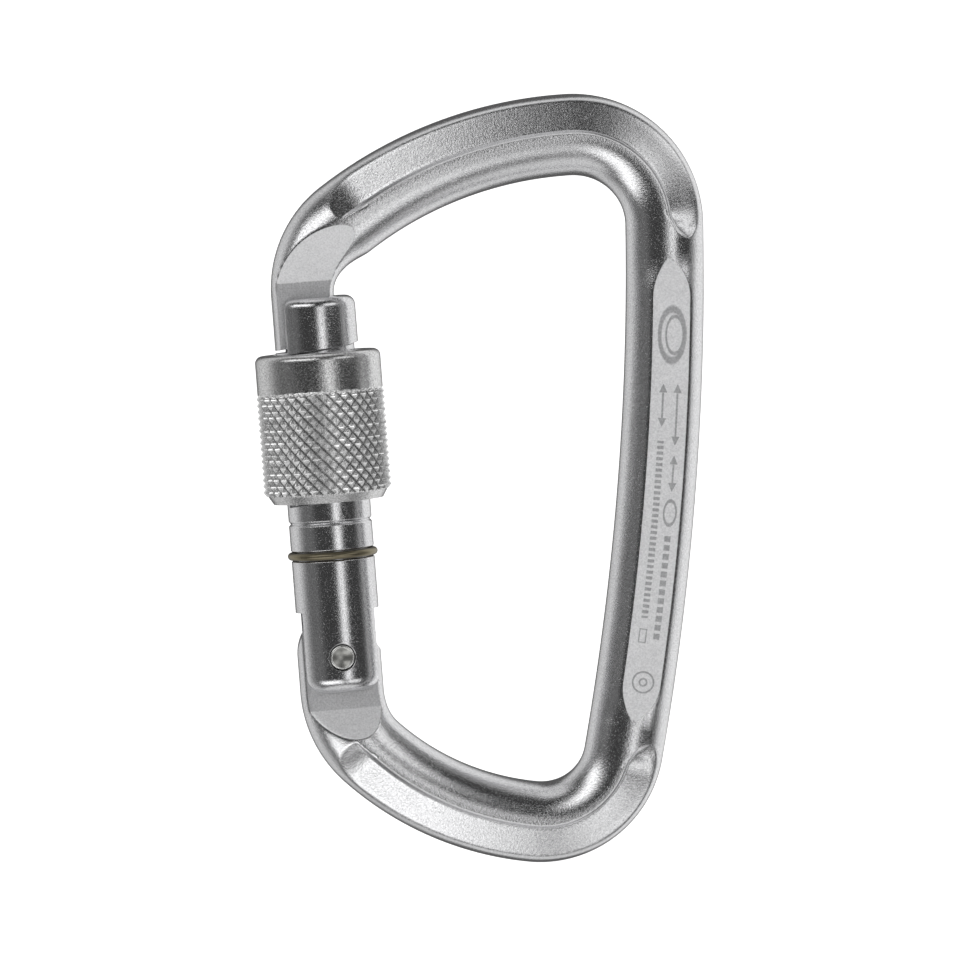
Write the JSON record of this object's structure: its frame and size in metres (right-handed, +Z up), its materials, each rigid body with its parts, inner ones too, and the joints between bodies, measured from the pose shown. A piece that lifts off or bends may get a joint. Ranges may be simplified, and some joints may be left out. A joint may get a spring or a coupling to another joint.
{
  "type": "locking carabiner",
  "caption": "D-shaped forged locking carabiner with a sprung keylock gate, a knurled screw sleeve, a wire stop ring and flat panels along its spine.",
  "frame": {"origin": "highest point of the inside of the top bow, where the carabiner hangs on what carries it", "axes": "+Z up along the closed gate towards the nose, +X from the gate to the spine, -Y towards the face that shows the rivet head"},
  "size_m": [0.0637, 0.0176, 0.1064],
  "materials": {
    "tumbled_aluminium": "tumbled satin with a fine grain",
    "turned_aluminium": "turned and tumbled, semi-bright",
    "knurled_aluminium": "diamond knurl with plain satin collar",
    "bronzed_wire": "dark bronzed wire",
    "rivet_steel": "dull steel, dished by the rivet tool",
    "spring_steel": "drawn wire",
    "plunger_steel": "turned"
  },
  "bodies": {
    "frame": {"frame_body": "tumbled_aluminium"},
    "gate": {"gate_barrel": "turned_aluminium", "hinge_rivet": "rivet_steel", "return_spring": "spring_steel"},
    "plunger": {"spring_plunger": "plunger_steel"},
    "ring": {"stop_ring": "bronzed_wire"},
    "sleeve": {"locking_sleeve": "knurled_aluminium"}
  },
  "joints": [
    {"name": "gate_swing", "type": "hinge", "parent": "frame", "child": "gate", "pos_m": [-0.03679, 0, -0.06378], "axis": [0, 1, 0], "range_deg": [0, 28], "stiffness_Nm_per_rad": 0.12, "springref_deg": -34.38},
    {"name": "plunger_lift", "type": "slide", "parent": "gate", "child": "plunger", "axis": [0, 0, 1], "range_m": [0, 0.00082], "deforming": ["return_spring"]},
    {"name": "sleeve_turn", "type": "hinge", "parent": "gate", "child": "ring", "pos_m": [-0.03679, 0, -0.04968], "axis": [0, 0, 1], "range_deg": [-781.8, 1012.5]},
    {"name": "sleeve_travel", "type": "slide", "parent": "ring", "child": "sleeve", "axis": [0, 0, 1], "range_m": [-0.00697, 0.00902]}
  ],
  "couplings": [
    {"joint": "plunger_lift", "follows": "gate_swing", "m_per_rad": 0.001637},
    {"joint": "sleeve_travel", "follows": "sleeve_turn", "m_per_rad": 0.0005093}
  ]
}
